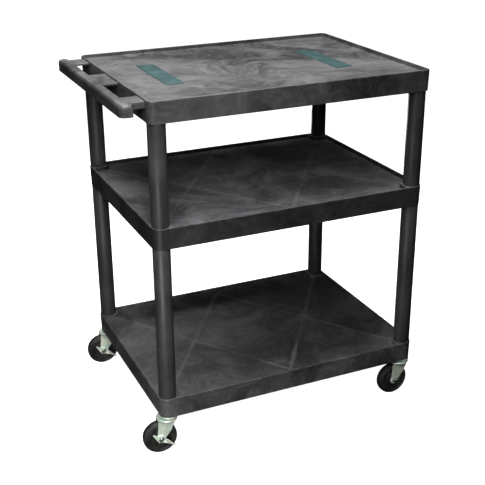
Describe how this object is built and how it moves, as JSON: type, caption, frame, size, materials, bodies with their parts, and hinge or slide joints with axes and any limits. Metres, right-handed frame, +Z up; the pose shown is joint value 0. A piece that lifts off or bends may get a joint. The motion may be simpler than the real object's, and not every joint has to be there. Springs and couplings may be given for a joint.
{
  "type": "rolling utility cart",
  "caption": "Moulded plastic utility cart with shelves on round tube legs, a push handle moulded onto one end of the top shelf, swivel casters and side brakes.",
  "frame": {"origin": "on the floor, under the middle of the whole cart's outline", "axes": "+Z up; X along the long side of the shelves with the push handle at -X; Y along the short side with the front long side at -Y"},
  "size_m": [0.8824, 0.6174, 1.0121],
  "materials": {
    "shelf_plastic": "structural foam moulding, satin, with cloudy grey swirl marks",
    "leg_plastic": "smooth satin tube",
    "grip_pad": "matt teal grip strip with a fine grain",
    "zinc_plate": "zinc plated pressed steel, pale greenish grey",
    "axle_steel": "plated steel bolt, nut and bushing",
    "wheel_core": "black moulded wheel centre",
    "tyre_rubber": "black rubber with concentric ridges on the side"
  },
  "bodies": {
    "root": {"top_shelf": "shelf_plastic", "middle_shelf": "shelf_plastic", "bottom_shelf": "shelf_plastic", "lower_leg_front_left": "leg_plastic", "lower_leg_back_left": "leg_plastic", "lower_leg_front_right": "leg_plastic", "lower_leg_back_right": "leg_plastic", "upper_leg_front_left": "leg_plastic", "upper_leg_back_left": "leg_plastic", "upper_leg_front_right": "leg_plastic", "upper_leg_back_right": "leg_plastic", "grip_pad_left": "grip_pad", "grip_pad_right": "grip_pad", "swivel_race_front_left": "zinc_plate", "swivel_race_back_left": "zinc_plate", "swivel_race_front_right": "zinc_plate", "swivel_race_back_right": "zinc_plate"},
    "swivel_front_left": {"fork_front_left": "zinc_plate", "axle_bolt_front_left": "axle_steel", "axle_nut_front_left": "axle_steel", "bushing_front_left": "axle_steel"},
    "wheel_front_left": {"wheel_core_front_left": "wheel_core", "tyre_front_left": "tyre_rubber"},
    "brake_front_left": {"brake_pedal_front_left": "zinc_plate"},
    "swivel_back_left": {"fork_back_left": "zinc_plate", "axle_bolt_back_left": "axle_steel", "axle_nut_back_left": "axle_steel", "bushing_back_left": "axle_steel"},
    "wheel_back_left": {"wheel_core_back_left": "wheel_core", "tyre_back_left": "tyre_rubber"},
    "brake_back_left": {"brake_pedal_back_left": "zinc_plate"},
    "swivel_front_right": {"fork_front_right": "zinc_plate", "axle_bolt_front_right": "axle_steel", "axle_nut_front_right": "axle_steel", "bushing_front_right": "axle_steel"},
    "wheel_front_right": {"wheel_core_front_right": "wheel_core", "tyre_front_right": "tyre_rubber"},
    "swivel_back_right": {"fork_back_right": "zinc_plate", "axle_bolt_back_right": "axle_steel", "axle_nut_back_right": "axle_steel", "bushing_back_right": "axle_steel"},
    "wheel_back_right": {"wheel_core_back_right": "wheel_core", "tyre_back_right": "tyre_rubber"}
  },
  "joints": [
    {"name": "swivel_front_left_turn", "type": "hinge", "parent": "root", "child": "swivel_front_left", "pos_m": [-0.34525, -0.2784, 0.10605], "axis": [0, 0, 1], "continuous": true},
    {"name": "wheel_front_left_spin", "type": "hinge", "parent": "swivel_front_left", "child": "wheel_front_left", "pos_m": [-0.37262, -0.27576, 0.049], "axis": [0.0958, 0.9954, 0], "continuous": true},
    {"name": "brake_front_left_rock", "type": "hinge", "parent": "swivel_front_left", "child": "brake_front_left", "pos_m": [-0.37262, -0.27576, 0.049], "axis": [-0.0958, -0.9954, 0], "range_deg": [0, 45]},
    {"name": "swivel_back_left_turn", "type": "hinge", "parent": "root", "child": "swivel_back_left", "pos_m": [-0.34525, 0.2784, 0.10605], "axis": [0, 0, 1], "continuous": true},
    {"name": "wheel_back_left_spin", "type": "hinge", "parent": "swivel_back_left", "child": "wheel_back_left", "pos_m": [-0.37267, 0.28056, 0.049], "axis": [0.0785, 0.9969, 0], "continuous": true},
    {"name": "brake_back_left_rock", "type": "hinge", "parent": "swivel_back_left", "child": "brake_back_left", "pos_m": [-0.37267, 0.28056, 0.049], "axis": [-0.0785, -0.9969, 0], "range_deg": [0, 45]},
    {"name": "swivel_front_right_turn", "type": "hinge", "parent": "root", "child": "swivel_front_right", "pos_m": [0.41475, -0.2784, 0.10605], "axis": [0, 0, 1], "continuous": true},
    {"name": "wheel_front_right_spin", "type": "hinge", "parent": "swivel_front_right", "child": "wheel_front_right", "pos_m": [0.38725, -0.27888, 0.049], "axis": [-0.0175, 0.9998, 0], "continuous": true},
    {"name": "swivel_back_right_turn", "type": "hinge", "parent": "root", "child": "swivel_back_right", "pos_m": [0.41475, 0.2784, 0.10605], "axis": [0, 0, 1], "continuous": true},
    {"name": "wheel_back_right_spin", "type": "hinge", "parent": "swivel_back_right", "child": "wheel_back_right", "pos_m": [0.38752, 0.28223, 0.049], "axis": [0.1392, 0.9903, 0], "continuous": true}
  ]
}
